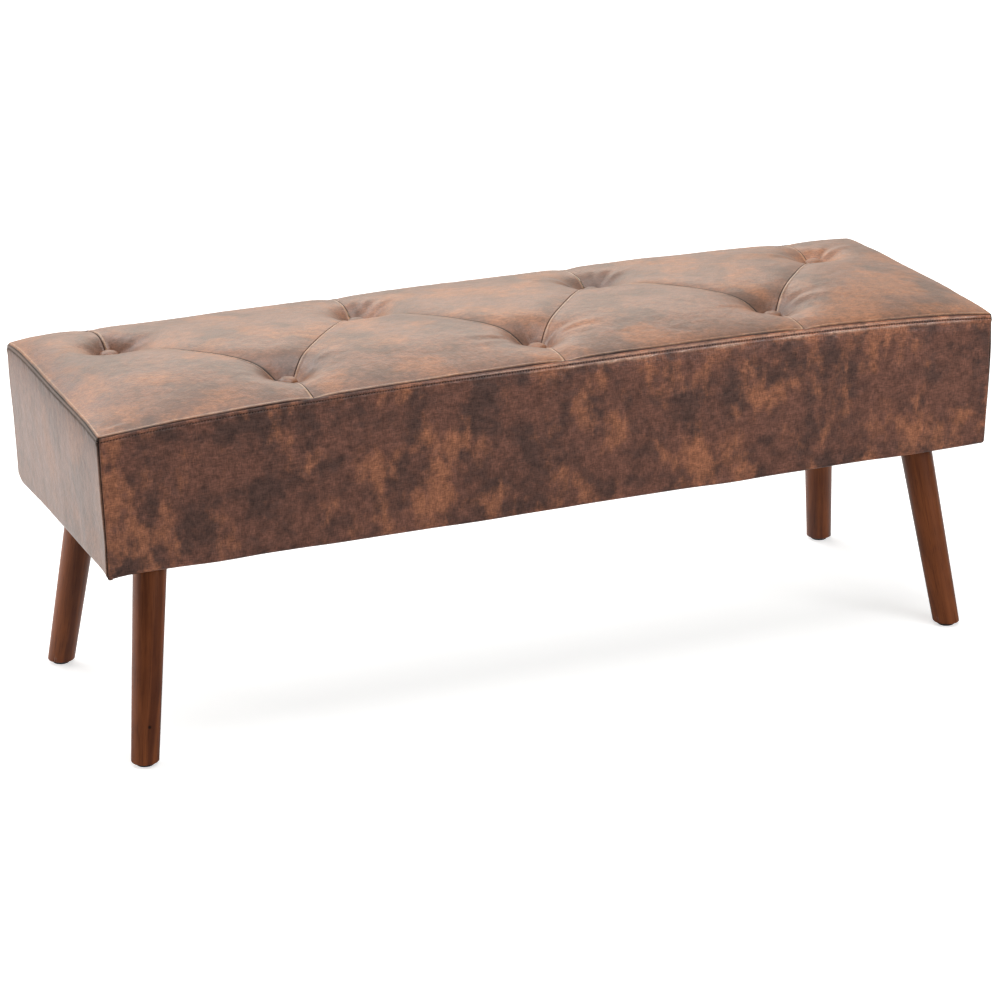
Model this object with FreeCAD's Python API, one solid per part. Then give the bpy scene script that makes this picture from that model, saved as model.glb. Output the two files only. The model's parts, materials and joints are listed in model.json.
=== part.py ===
import FreeCAD, Part
import math
import os

# Upholstered bed bench: a button-tufted box seat on four splayed legs.
# Millimetres. +X runs along the length, -Y is the front, +Z is up.
# The origin is on the floor, under the middle of the seat.

# Seat block, measured over the cover
length = 1170.0  # over the end bands, at the top seam
depth = 380.0  # over the front and rear bands, at the top seam
seam_height = 418.0  # floor to the top seam, at the corners
block_bottom = 248.0  # floor to the underside of the hems
side_lean = 3.0  # how far each band leans in, from the top seam down to the hem
corner_radius = 10.0  # upright corners
lower_edge_radius = 6.0  # where a band turns under the frame

# Rise of the top
long_seam_rise = 16.0  # middle of the front and rear top seams above their corners
end_seam_rise = 6.0  # middle of the end seams above their corners
crown_height = 17.0  # middle of the seat above the middle of the long seams

# Tufting
rear_button_count = 4
end_button_inset = 100.2  # last rear button to the end of the seat
row_inset = 93.5  # each row of buttons to its long edge
button_seat_drop = 0.0  # how far the buttons sit below the corners of the top seam
dimple_radius = 27.0  # where a dimple has risen half way from its button
button_diameter = 24.0
button_height = 8.0
button_rim = 1.6  # thickness of the covered cap's rolled edge
button_back_thickness = 1.4
button_eye_wire = 1.2
button_eye_width = 6.0
eye_depth = 4.5  # middle of the eye's lowest wire under the cap's rim
button_clearance = 0.5  # between a cap's rim and the highest cover under it
twine_diameter = 1.4
button_hole_diameter = 8.0  # through cover and wadding, for the eye
twine_hole_diameter = 6.0  # through foam and deck, for both runs of the twine
washer_diameter = 25.0
washer_thickness = 1.5
knot_diameter = 7.0

# Soft layers
cover_thickness = 1.2
wadding_thickness = 5.0
dust_cover_thickness = 0.6
layer_gap = 0.2  # between one soft layer and the next
seam_gap = 0.2  # between two cover panels sewn together
band_top_gap = 0.5  # between a band's upper edge and the panel sewn over it
hem_width = 26.0  # under the frame, measured from the outside of the band
dust_cover_inset = 11.0  # from the outside of the bands

# Timber frame
rail_height = 95.0
rail_thickness = 18.0
deck_thickness = 9.0
brace_thickness = 18.0
brace_height = 60.0
corner_board_size = 130.0
corner_board_thickness = 18.0
leg_recess = 22.0  # underside of the corner boards above the underside of the rails

# Legs
leg_end_inset = 72.0  # axis to the end of the seat, at the underside of the hems
leg_side_inset = 60.0  # axis to the long edge of the seat, at the underside of the hems
leg_splay_end = 7.35  # degrees, outwards along the length
leg_splay_side = 10.5  # degrees, outwards along the depth
leg_foot_diameter = 33.5
leg_top_diameter = 41.0
leg_foot_chamfer = 1.2
leg_hole_clearance = 2.5  # hole in the dust cover round a leg
glide_diameter = 21.5
glide_thickness = 4.5
glide_edge_radius = 1.2
glide_nail_diameter = 2.2
glide_nail_length = 18.0

# Leg fixings
plate_size = 64.0
plate_thickness = 2.5
plate_pad_diameter = 46.0
plate_screw_inset = 7.0
bolt_diameter = 8.0
bolt_in_leg = 34.0
bolt_above_pad = 20.0
nut_width = 14.0
nut_height = 6.5
bolt_hole_clearance = 1.5  # round the bolt's end in the corner board

# Screws and staples
frame_screw_diameter = 4.5
frame_screw_length = 50.0
deck_screw_diameter = 3.5
deck_screw_length = 30.0
plate_screw_diameter = 4.0
plate_screw_length = 16.0
screw_head_ratio = 2.0  # head diameter over shank diameter
screw_head_height = 2.4
deck_screw_pitch = 180.0
screw_edge_distance = 18.0  # frame screws from the upper and lower edges of what they hold
deck_screw_end = 30.0  # outermost deck screws to the end rails
board_screw_shares = (0.12, 0.75)  # along each corner board, from the end rail
hole_clearance = 0.05  # round each shank, per side
staple_width = 10.0
staple_wire = 0.7
staple_leg = 8.0
hem_staple_pitch = 75.0
dust_staple_pitch = 90.0
hem_staple_shift = 4.0  # inwards from the middle of the rail
dust_staple_shift = -1.5  # outwards from the middle of the rail

# Worked out from the above
least_radius = 0.5  # corners of pieces that sit deep inside the cover
half_length = length / 2
half_depth = depth / 2
button_seat_height = seam_height - button_seat_drop
button_pitch = (length - 2 * end_button_inset) / (rear_button_count - 1)
row_offset = half_depth - row_inset
frame_bottom = block_bottom + cover_thickness + layer_gap
rail_top = frame_bottom + rail_height
deck_top = rail_top + deck_thickness
core_inset = side_lean + cover_thickness + layer_gap + wadding_thickness
core_half_length = half_length - core_inset
core_half_depth = half_depth - core_inset
core_radius = max(corner_radius - core_inset, least_radius)
frame_half_length = core_half_length - layer_gap
frame_half_depth = core_half_depth - layer_gap
wadding_drop = cover_thickness + layer_gap
foam_drop = wadding_drop + wadding_thickness + layer_gap
band_drop = cover_thickness + band_top_gap
dust_top = block_bottom - staple_wire - layer_gap
dust_bottom = dust_top - dust_cover_thickness
corner_board_bottom = frame_bottom + leg_recess

# Working values of the shapes
margin = 8.0  # cutting shapes reach this far past what they cut
sky = seam_height + long_seam_rise + crown_height + margin
grid_step = 8.0  # between the points that the top's surface passes through
long_edge_step = 55.0  # between the points of the long top seams
end_edge_step = 40.0  # between the points of the end top seams
touch = 0.001  # edges this close to a plane lie on it
everywhere = (-math.inf, math.inf)
up = FreeCAD.Vector(0, 0, 1)
sides = (-1, 1)

rear_buttons = [
    ((i - (rear_button_count - 1) / 2) * button_pitch, row_offset) for i in range(rear_button_count)
]
front_buttons = [
    ((i - (rear_button_count - 2) / 2) * button_pitch, -row_offset)
    for i in range(rear_button_count - 1)
]
buttons = rear_buttons + front_buttons


def point(x, y, z):
    return FreeCAD.Vector(x, y, z)


def block(x0, x1, y0, y1, z0, z1):
    """Box between two opposite corners, in any order."""
    low = point(min(x0, x1), min(y0, y1), min(z0, z1))
    return Part.makeBox(abs(x1 - x0), abs(y1 - y0), abs(z1 - z0), low)


def rod(start, direction, radius, reach):
    return Part.makeCylinder(radius, reach, start, direction)


def save(name, *solids):
    """One file for each sub-part; like fasteners go into one file as separate solids."""
    shape = solids[0] if len(solids) == 1 else Part.makeCompound(list(solids))
    shape.exportStep("parts/" + name + ".step")


def place(shape, x, y, z, turn=0.0):
    """Copy of a shape turned about the upright axis and moved."""
    copy = shape.copy()
    copy.Placement = FreeCAD.Placement(point(x, y, z), FreeCAD.Rotation(up, turn))
    return copy


def corner_name(sx, sy):
    return ("front" if sy < 0 else "rear") + "_" + ("left" if sx < 0 else "right")


def screw(tip, direction, diameter, reach, clearance=0.0):
    """Wood screw with its head's underside at tip, its shank running along direction.
    With a clearance it is the hole for that screw."""
    head_radius = diameter * screw_head_ratio / 2 + clearance
    head = rod(tip - direction * screw_head_height, direction, head_radius, screw_head_height)
    shank = rod(tip, direction, diameter / 2 + clearance, reach + clearance)
    return head.fuse(shank).removeSplitter()


def seat_height(x, y):
    """Outside of the cover above the floor: bowed seams, a crown, and a dimple at each button."""
    along = min(abs(x) / half_length, 1.0)
    across = min(abs(y) / half_depth, 1.0)
    end_share = along**3.5
    seam = seam_height + long_seam_rise * (1 - end_share)
    seam += end_seam_rise * (1 - across**3) * end_share
    crown = crown_height * (1 - along**8) * (1 - across**2.6)
    height = seam + crown
    for button_x, button_y in buttons:
        away = math.hypot(x - button_x, y - button_y)
        pull = 1 / (1 + (away / dimple_radius) ** 2.8)
        height -= pull * (height - button_seat_height)
    return height


def steps(low, high):
    """Number of grid steps between two values, and the size of one."""
    count = max(int(round((high - low) / grid_step)), 4)
    return count, (high - low) / count


def seat_surface(drop, x_range=everywhere, y_range=everywhere):
    """The top's outer surface lowered by drop, over the whole seat or a part of it."""
    spare = 2 * grid_step
    low_x, high_x = max(x_range[0], -half_length) - spare, min(x_range[1], half_length) + spare
    low_y, high_y = max(y_range[0], -half_depth) - spare, min(y_range[1], half_depth) + spare
    count_x, step_x = steps(low_x, high_x)
    count_y, step_y = steps(low_y, high_y)
    heights = []
    for i in range(count_x + 1):
        x = low_x + i * step_x
        heights.append([seat_height(x, low_y + j * step_y) - drop for j in range(count_y + 1)])
    surface = Part.BSplineSurface()
    surface.interpolate(heights, low_x, step_x, low_y, step_y)
    return surface.toShape()


def under_seat(drop):
    """Everything below the top's surface lowered by drop."""
    return seat_surface(drop).extrude(up * -sky)


def outline(half_x, half_y, radius, z):
    """Rounded rectangle centred on the origin, at height z."""
    diagonal = radius * math.sqrt(0.5)
    flat_x, flat_y = half_x - radius, half_y - radius
    edges = []
    for s in sides:
        edges.append(Part.LineSegment(point(s * half_x, -flat_y, z), point(s * half_x, flat_y, z)))
        edges.append(Part.LineSegment(point(-flat_x, s * half_y, z), point(flat_x, s * half_y, z)))
    for sx in sides:
        for sy in sides:
            first = point(sx * half_x, sy * flat_y, z)
            middle = point(sx * (flat_x + diagonal), sy * (flat_y + diagonal), z)
            last = point(sx * flat_x, sy * half_y, z)
            edges.append(Part.Arc(first, middle, last))
    return Part.Wire(Part.__sortEdges__([edge.toShape() for edge in edges]))


def prism(half_x, half_y, radius, z0, z1):
    return Part.Face(outline(half_x, half_y, radius, z0)).extrude(up * (z1 - z0))


def seat_block(inset, z_low):
    """The whole seat's outside moved in by inset: leaning sides up to the seam, upright above."""
    radius = max(corner_radius - inset, least_radius)
    lean = side_lean * (seam_height - z_low) / (seam_height - block_bottom)
    low = outline(half_length - inset - lean, half_depth - inset - lean, radius, z_low)
    high = outline(half_length - inset, half_depth - inset, radius, seam_height)
    sides_part = Part.makeLoft([low, high], True, True)
    rounding = max(lower_edge_radius - inset, least_radius)
    low_edges = [e for e in sides_part.Edges if e.BoundBox.ZMax < z_low + touch]
    sides_part = sides_part.makeFillet(rounding, low_edges)
    top_part = prism(half_length - inset, half_depth - inset, radius, seam_height, sky)
    return sides_part.fuse(top_part).removeSplitter()


def region(corners):
    """Upright prism over a polygon, drawn in by half a seam's gap."""
    closed = corners + corners[:1]
    face = Part.Face(Part.makePolygon([point(x, y, 0) for x, y in closed]))
    return face.makeOffset2D(-seam_gap / 2, 2).extrude(up * sky)


def row_of(low, high, pitch):
    """Evenly spaced values from low to high, about a pitch apart."""
    count = max(int(round((high - low) / pitch)), 1)
    return [low + (high - low) * i / count for i in range(count + 1)]


def panel_outlines():
    """Seven panels from the left end to the right, each as its name and corners."""
    zigzag = sorted(buttons)
    end_x, edge_y = half_length + margin, half_depth + margin
    outlines = {}
    for side, (first, second) in ((-1, zigzag[:2]), (1, zigzag[:-3:-1])):
        name = "left_end" if side < 0 else "right_end"
        far_edge = math.copysign(edge_y, second[1])
        outlines[name] = [
            (side * end_x, -far_edge),
            (side * end_x, far_edge),
            (second[0], far_edge),
            second,
            first,
            (first[0], -far_edge),
        ]
    for i, (left, middle, right) in enumerate(zip(zigzag, zigzag[1:], zigzag[2:])):
        edge = math.copysign(edge_y, left[1])
        name = "%s_%d" % ("rear" if edge > 0 else "front", i // 2 + 1)
        outlines[name] = [(left[0], edge), left, middle, right, (right[0], edge)]
    return outlines


def make_top_panels():
    """Panels with a hole under each button, where their corners meet."""
    edge = prism(half_length, half_depth, corner_radius, block_bottom, sky)
    holes = [rod(point(x, y, 0), up, button_hole_diameter / 2, sky) for x, y in buttons]
    for name, corners in panel_outlines().items():
        xs = [x for x, y in corners]
        ys = [y for x, y in corners]
        sheet = seat_surface(0, (min(xs), max(xs)), (min(ys), max(ys))).extrude(up * -cover_thickness)
        outline_prism = region(corners).common(edge).cut(holes)
        save("top_panel_" + name, outline_prism.common(sheet))


def make_side_bands(staples):
    """Four bands that meet at the upright corner seams and turn under the frame."""
    shell = seat_block(0, block_bottom).cut(seat_block(cover_thickness, block_bottom + cover_thickness))
    window = prism(
        half_length - side_lean - hem_width,
        half_depth - side_lean - hem_width,
        least_radius,
        block_bottom - margin,
        frame_bottom,
    )
    shell = shell.cut([window] + staples)
    outer_x, outer_y = half_length + margin, half_depth + margin
    reach = margin + side_lean + corner_radius + hem_width
    inner_x, inner_y = outer_x - reach, outer_y - reach
    for side in sides:
        long_corners = [
            (-outer_x, side * outer_y),
            (outer_x, side * outer_y),
            (inner_x, side * inner_y),
            (-inner_x, side * inner_y),
        ]
        places = row_of(-outer_x, outer_x, long_edge_step)
        heights = [seat_height(x, half_depth) - band_drop for x in places]
        top_edge = [point(x, -outer_y, z) for x, z in zip(places, heights)]
        band = shell.common(region(long_corners)).common(under_edge(top_edge, point(0, 2 * outer_y, 0)))
        save("side_band_" + ("rear" if side > 0 else "front"), band)
        end_corners = [
            (side * outer_x, -outer_y),
            (side * outer_x, outer_y),
            (side * inner_x, inner_y),
            (side * inner_x, -inner_y),
        ]
        places = row_of(-outer_y, outer_y, end_edge_step)
        heights = [seat_height(half_length, y) - band_drop for y in places]
        top_edge = [point(-outer_x, y, z) for y, z in zip(places, heights)]
        band = shell.common(region(end_corners)).common(under_edge(top_edge, point(2 * outer_x, 0, 0)))
        save("side_band_" + ("right" if side > 0 else "left"), band)


def under_edge(top_edge, sweep):
    """Everything below a smooth line, swept sideways."""
    line = Part.BSplineCurve()
    line.interpolate(top_edge)
    first, last = top_edge[0], top_edge[-1]
    low_first, low_last = point(first.x, first.y, 0), point(last.x, last.y, 0)
    outline_edges = [
        line.toShape(),
        Part.LineSegment(last, low_last).toShape(),
        Part.LineSegment(low_last, low_first).toShape(),
        Part.LineSegment(low_first, first).toShape(),
    ]
    return Part.Face(Part.Wire(outline_edges)).extrude(sweep)


def make_padding():
    """Foam block on the deck, and wadding over it and down the sides of the frame."""
    holes = [rod(point(x, y, 0), up, button_hole_diameter / 2, sky) for x, y in buttons]
    outside = seat_block(wadding_drop, frame_bottom + lower_edge_radius)
    outside = outside.common(under_seat(wadding_drop))
    inside = prism(core_half_length, core_half_depth, core_radius, frame_bottom, sky)
    inside = inside.common(under_seat(wadding_drop + wadding_thickness))
    save("wadding", outside.cut([inside] + holes))
    foam = prism(frame_half_length, frame_half_depth, core_radius, deck_top + layer_gap, sky)
    foam = foam.common(under_seat(foam_drop))
    holes = [rod(point(x, y, 0), up, twine_hole_diameter / 2, sky) for x, y in buttons]
    save("foam_core", foam.cut(holes))


def rim_height(x, y):
    """Highest point of the cover under a button's rim."""
    radius = button_diameter / 2
    turns = [math.radians(15 * i) for i in range(24)]
    return max(seat_height(x + radius * math.cos(a), y + radius * math.sin(a)) for a in turns)


def bent_wire(points, diameter):
    """Round wire along a straight, a half turn through the middle point, and a straight."""
    start, bend_start, top, bend_end, end = points
    path = Part.Wire([
        Part.LineSegment(start, bend_start).toShape(),
        Part.Arc(bend_start, top, bend_end).toShape(),
        Part.LineSegment(bend_end, end).toShape(),
    ])
    section = Part.Wire([Part.Circle(start, up, diameter / 2).toShape()])
    return path.makePipeShell([section], True, True)


def button_cap():
    """Covered cap with its rim at the origin: a dome over a shallow pocket for the metal back."""
    radius = button_diameter / 2
    stretch = FreeCAD.Matrix()
    stretch.scale(radius, radius, button_height - button_back_thickness)
    dome = Part.makeSphere(1.0, point(0, 0, 0), up, 0, 90).transformGeometry(stretch)
    dome.translate(up * button_back_thickness)
    skirt = rod(point(0, 0, 0), up, radius, button_back_thickness)
    pocket = rod(point(0, 0, 0), up, radius - button_rim, button_back_thickness)
    return dome.fuse(skirt.cut(pocket)).removeSplitter()


def button_back():
    """Metal disc with a wire eye under it."""
    half = (button_eye_width - button_eye_wire) / 2
    plate = rod(point(0, 0, 0), up, button_diameter / 2 - button_rim - hole_clearance, button_back_thickness)
    eye = bent_wire(
        [
            point(-half, 0, 0),
            point(-half, 0, -eye_depth + half),
            point(0, 0, -eye_depth),
            point(half, 0, -eye_depth + half),
            point(half, 0, 0),
        ],
        button_eye_wire,
    )
    return plate.fuse(eye)


def make_buttons():
    """Seven covered caps with their backs, the twine through each eye, and its washer."""
    cap, back = button_cap(), button_back()
    backs, twines, washers = [], [], []
    washer_bottom = rail_top - washer_thickness
    knot_height = washer_bottom - knot_diameter / 2
    run = (twine_diameter + button_eye_wire) / 2 + layer_gap
    washer = rod(point(0, 0, washer_bottom), up, washer_diameter / 2, washer_thickness)
    opening = run + twine_diameter / 2 + layer_gap
    washer = washer.cut(rod(point(0, 0, washer_bottom), up, opening, washer_thickness))
    for row, row_buttons in (("rear", rear_buttons), ("front", front_buttons)):
        for i, (x, y) in enumerate(row_buttons):
            seat = rim_height(x, y) + button_clearance
            save("button_%s_%d" % (row, i + 1), place(cap, x, y, seat))
            backs.append(place(back, x, y, seat))
            washers.append(place(washer, x, y, 0))
            bar = seat - eye_depth
            twine = bent_wire(
                [
                    point(x, y - run, knot_height),
                    point(x, y - run, bar),
                    point(x, y, bar + run),
                    point(x, y + run, bar),
                    point(x, y + run, knot_height),
                ],
                twine_diameter,
            )
            knot = Part.makeSphere(knot_diameter / 2, point(x, y, knot_height))
            twines.append(twine.fuse(knot))
    save("button_backs", *backs)
    save("tufting_twines", *twines)
    save("anchor_washers", *washers)


def leg_line(sx, sy):
    """Where a leg's axis crosses the underside of the hems, and its upward direction."""
    start = point(sx * (half_length - leg_end_inset), sy * (half_depth - leg_side_inset), block_bottom)
    slope_x = math.tan(math.radians(leg_splay_end))
    slope_y = math.tan(math.radians(leg_splay_side))
    direction = point(-sx * slope_x, -sy * slope_y, 1.0)
    return start, direction.normalize()


def on_axis(start, direction, z):
    """The point of an axis at height z."""
    return start + direction * ((z - start.z) / direction.z)


def leg_cone(sx, sy, extra=0.0):
    """A leg's tapered body, before its foot is cut level."""
    start, direction = leg_line(sx, sy)
    floor_point = on_axis(start, direction, 0.0)
    reach = (leg_top(sx, sy) - floor_point).Length
    grow = (leg_top_diameter - leg_foot_diameter) / 2 / (start - floor_point).Length
    spare = leg_foot_diameter
    low_radius = leg_foot_diameter / 2 - grow * spare + extra
    high_radius = leg_foot_diameter / 2 + grow * reach + extra
    lowest = floor_point - direction * spare
    return Part.makeCone(low_radius, high_radius, reach + spare, lowest, direction)


def leg_top(sx, sy):
    """Middle of the leg's upper end, where it meets the angled pad of its plate."""
    start, direction = leg_line(sx, sy)
    tilt = math.sqrt(1 - direction.z**2)
    pad_drop = plate_thickness + plate_pad_diameter / 2 * tilt
    return on_axis(start, direction, corner_board_bottom - plate_thickness - pad_drop)


def make_leg_set():
    """Legs, glides and their nails, angled plates, hanger bolts and plate screws."""
    nails, bolts, plate_screws = [], [], []
    board_holes = []
    for sx in sides:
        for sy in sides:
            start, direction = leg_line(sx, sy)
            name = corner_name(sx, sy)
            top = leg_top(sx, sy)
            foot = on_axis(start, direction, glide_thickness)

            leg = leg_cone(sx, sy)
            room = 2 * leg_foot_diameter
            below = block(foot.x - room, foot.x + room, foot.y - room, foot.y + room, -room, glide_thickness)
            leg = leg.cut(below)
            foot_edges = [e for e in leg.Edges if e.BoundBox.ZMax < glide_thickness + touch]
            leg = leg.makeChamfer(leg_foot_chamfer, foot_edges)
            bolt_low = top - direction * bolt_in_leg
            bolt_hole = rod(bolt_low, direction, bolt_diameter / 2 + hole_clearance, bolt_in_leg)
            nail_hole = rod(foot, up, glide_nail_diameter / 2 + hole_clearance, glide_nail_length)
            save("leg_" + name, leg.cut([bolt_hole, nail_hole]))

            base = point(foot.x, foot.y, 0)
            glide = rod(base, up, glide_diameter / 2, glide_thickness)
            rim = [e for e in glide.Edges if e.BoundBox.ZMax < touch]
            glide = glide.makeFillet(glide_edge_radius, rim)
            nail_seat = base + up * (glide_thickness / 2)
            pin = rod(nail_seat, up, glide_nail_diameter / 2, glide_thickness / 2 + glide_nail_length)
            save("glide_" + name, glide.cut(pin))
            nails.append(pin)

            plate_low = corner_board_bottom - plate_thickness
            centre = on_axis(start, direction, plate_low)
            half = plate_size / 2
            edges = (centre.x - half, centre.x + half, centre.y - half, centre.y + half)
            flange = block(*edges, plate_low, corner_board_bottom)
            pad_inside = top + direction * plate_thickness
            pad_radius = plate_pad_diameter / 2
            outer = rod(top, direction, pad_radius, plate_size)
            inner = rod(pad_inside, direction, pad_radius - plate_thickness, plate_size)
            below_board = block(*edges, block_bottom, corner_board_bottom)
            plate = flange.fuse(outer.common(below_board)).cut(inner)
            nut = nut_on_pad(pad_inside, direction)
            bolt_way = rod(top, direction, bolt_diameter / 2 + hole_clearance, plate_size)
            plate = plate.fuse(nut).cut(bolt_way)
            for ux in sides:
                for uy in sides:
                    hole_x = centre.x + ux * (half - plate_screw_inset)
                    hole_y = centre.y + uy * (half - plate_screw_inset)
                    tip = point(hole_x, hole_y, plate_low)
                    plate_screws.append(screw(tip, up, plate_screw_diameter, plate_screw_length))
                    hole = screw(tip, up, plate_screw_diameter, plate_screw_length, hole_clearance)
                    board_holes.append(hole)
                    plate = plate.cut(hole)
            save("leg_plate_" + name, plate.removeSplitter())

            bolts.append(rod(bolt_low, direction, bolt_diameter / 2, bolt_in_leg + bolt_above_pad))
            way = bolt_diameter / 2 + bolt_hole_clearance
            board_holes.append(rod(top, direction, way, bolt_above_pad + bolt_hole_clearance))
            board_holes.append(nut_on_pad(pad_inside, direction, bolt_hole_clearance))
    save("glide_nails", *nails)
    save("hanger_bolts", *bolts)
    save("leg_plate_screws", *plate_screws)
    return board_holes


def nut_on_pad(seat, direction, extra=0.0):
    """Six-sided weld nut on the inside of a plate's angled pad, or with extra the room for it."""
    radius = nut_width / 2 / math.cos(math.radians(30)) + extra
    corners = []
    for i in range(7):
        angle = math.radians(60 * i)
        corners.append(point(radius * math.cos(angle), radius * math.sin(angle), 0))
    nut = Part.Face(Part.makePolygon(corners)).extrude(up * (nut_height + extra))
    turn = FreeCAD.Rotation(up, direction)
    nut.Placement = FreeCAD.Placement(seat, turn)
    return nut


def make_staple():
    """Staple with its crown's top at the origin and its legs standing up, along X."""
    half = staple_width / 2
    low, high = -staple_wire, staple_leg
    corners = [
        (-half, low),
        (half, low),
        (half, high),
        (half - staple_wire, high),
        (half - staple_wire, 0),
        (-half + staple_wire, 0),
        (-half + staple_wire, high),
        (-half, high),
        (-half, low),
    ]
    face = Part.Face(Part.makePolygon([point(x, -staple_wire / 2, z) for x, z in corners]))
    return face.extrude(point(0, staple_wire, 0))


def make_staples(pitch, shift, z):
    """A ring of staples under the rails, shifted in from the middle of each rail."""
    line_x = frame_half_length - rail_thickness / 2 - shift
    line_y = frame_half_depth - rail_thickness / 2 - shift
    end_x = line_x - 2 * rail_thickness
    end_y = line_y - 2 * rail_thickness
    template = make_staple()
    ring = [place(template, x, s * line_y, z) for s in sides for x in row_of(-end_x, end_x, pitch)]
    ring += [place(template, s * line_x, y, z, 90) for s in sides for y in row_of(-end_y, end_y, pitch)]
    return ring


def make_frame(board_holes, staples):
    """Timber frame with its screws, and the deck on top with a hole for each twine."""
    inner_x = frame_half_length - rail_thickness
    inner_y = frame_half_depth - rail_thickness
    brace_x = [
        (rear_buttons[1][0] + front_buttons[0][0]) / 2,
        (rear_buttons[-2][0] + front_buttons[-1][0]) / 2,
    ]
    screws, holes = [], []

    def drive(tip, direction):
        recess = tip + direction * screw_head_height
        screws.append(screw(recess, direction, frame_screw_diameter, frame_screw_length))
        hole = screw(recess, direction, frame_screw_diameter, frame_screw_length, hole_clearance)
        holes.append(hole)

    board_middle = corner_board_bottom + corner_board_thickness / 2
    brace_middle = rail_top - brace_height / 2
    for sy in sides:
        inward = point(0, -sy, 0)
        for sx in sides:
            end_x = sx * (frame_half_length - rail_thickness / 2)
            for z in (frame_bottom + screw_edge_distance, rail_top - screw_edge_distance):
                drive(point(end_x, sy * frame_half_depth, z), inward)
            for share in board_screw_shares:
                board_x = sx * (inner_x - corner_board_size * share)
                drive(point(board_x, sy * frame_half_depth, board_middle), inward)
        for x in brace_x:
            for z_shift in sides:
                z = brace_middle + z_shift * (brace_height / 2 - screw_edge_distance)
                drive(point(x, sy * frame_half_depth, z), inward)

    deck_screws, deck_holes = [], []
    long_places = row_of(-inner_x + deck_screw_end, inner_x - deck_screw_end, deck_screw_pitch)
    places = [(x, s * (inner_y + rail_thickness / 2)) for s in sides for x in long_places]
    places += [(s * (inner_x + rail_thickness / 2), 0.0) for s in sides]
    places += [(x, s * inner_y / 3) for x in brace_x for s in sides]
    for x, y in places:
        tip = point(x, y, deck_top - screw_head_height)
        deck_screws.append(screw(tip, -up, deck_screw_diameter, deck_screw_length))
        hole = screw(tip, -up, deck_screw_diameter, deck_screw_length, hole_clearance)
        deck_holes.append(hole)

    cuts = holes + deck_holes + staples
    span = (-frame_half_length, frame_half_length)
    for side, long_name, end_name in ((-1, "front", "left"), (1, "rear", "right")):
        long_rail = block(*span, side * inner_y, side * frame_half_depth, frame_bottom, rail_top)
        save("frame_%s_rail" % long_name, long_rail.cut(cuts))
        end_rail = block(side * inner_x, side * frame_half_length, -inner_y, inner_y, frame_bottom, rail_top)
        save("frame_%s_rail" % end_name, end_rail.cut(cuts))
    for x, name in zip(brace_x, ("left", "right")):
        half = brace_thickness / 2
        brace = block(x - half, x + half, -inner_y, inner_y, rail_top - brace_height, rail_top)
        save("cross_brace_" + name, brace.cut(holes + deck_holes))
    for sx in sides:
        for sy in sides:
            name = corner_name(sx, sy)
            board = block(
                sx * inner_x,
                sx * (inner_x - corner_board_size),
                sy * inner_y,
                sy * (inner_y - corner_board_size),
                corner_board_bottom,
                corner_board_bottom + corner_board_thickness,
            )
            save("corner_board_" + name, board.cut(holes + board_holes))
    deck = prism(frame_half_length, frame_half_depth, core_radius, rail_top, deck_top)
    twine_ways = [rod(point(x, y, 0), up, twine_hole_diameter / 2, sky) for x, y in buttons]
    save("seat_deck", deck.cut(deck_holes + twine_ways))
    save("frame_screws", *screws)
    save("deck_screws", *deck_screws)


def make_dust_cover(staples):
    """Black cloth under the frame, open round each leg."""
    sheet = prism(
        half_length - side_lean - dust_cover_inset,
        half_depth - side_lean - dust_cover_inset,
        corner_radius,
        dust_bottom,
        dust_top,
    )
    leg_ways = [leg_cone(sx, sy, leg_hole_clearance) for sx in sides for sy in sides]
    save("dust_cover", sheet.cut(leg_ways + staples))


os.makedirs("parts", exist_ok=True)
hem_staples = make_staples(hem_staple_pitch, hem_staple_shift, block_bottom)
dust_staples = make_staples(dust_staple_pitch, dust_staple_shift, dust_bottom)
all_staples = hem_staples + dust_staples
save("hem_staples", *hem_staples)
save("dust_cover_staples", *dust_staples)
make_top_panels()
make_side_bands(all_staples)
make_padding()
make_buttons()
make_frame(make_leg_set(), all_staples)
make_dust_cover(all_staples)
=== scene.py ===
import json
import math

import bmesh
import bpy
from mathutils import Matrix, Vector, noise


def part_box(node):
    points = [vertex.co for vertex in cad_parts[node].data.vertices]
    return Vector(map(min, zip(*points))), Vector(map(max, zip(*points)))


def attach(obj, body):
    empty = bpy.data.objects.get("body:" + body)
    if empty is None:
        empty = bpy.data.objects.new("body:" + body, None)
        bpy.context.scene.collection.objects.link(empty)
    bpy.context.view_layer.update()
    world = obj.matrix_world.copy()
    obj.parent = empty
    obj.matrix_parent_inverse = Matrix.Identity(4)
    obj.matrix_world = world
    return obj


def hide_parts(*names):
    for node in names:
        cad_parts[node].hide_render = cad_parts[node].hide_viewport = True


# Upholstered bed bench: a button-tufted leather box seat on four splayed wooden legs.
# Everything is in metres: +X runs along the bench, -Y is its front, +Z is up, the floor is at zero.
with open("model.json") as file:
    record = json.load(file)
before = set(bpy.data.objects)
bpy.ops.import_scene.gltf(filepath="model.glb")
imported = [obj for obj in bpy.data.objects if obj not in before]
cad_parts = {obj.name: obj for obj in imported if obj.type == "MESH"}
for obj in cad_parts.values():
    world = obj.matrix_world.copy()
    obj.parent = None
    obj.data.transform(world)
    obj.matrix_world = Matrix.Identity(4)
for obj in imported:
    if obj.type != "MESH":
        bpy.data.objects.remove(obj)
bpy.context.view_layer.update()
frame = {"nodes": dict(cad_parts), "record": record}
scene = bpy.context.scene


# Camera: to the left of the front and a little above the seat, with a long lens.
# Its place, turn and lens are worked out from where the bench's corners lie in the photograph.
camera_azimuth = math.radians(-22.967)
camera_elevation = math.radians(19.746)
camera_roll = math.radians(-0.543)
camera_distance = 4.415
camera_target = Vector((-0.0152, -0.0127, 0.2007))
photo_width = 1000
lens_in_pixels = 3494.3

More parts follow.
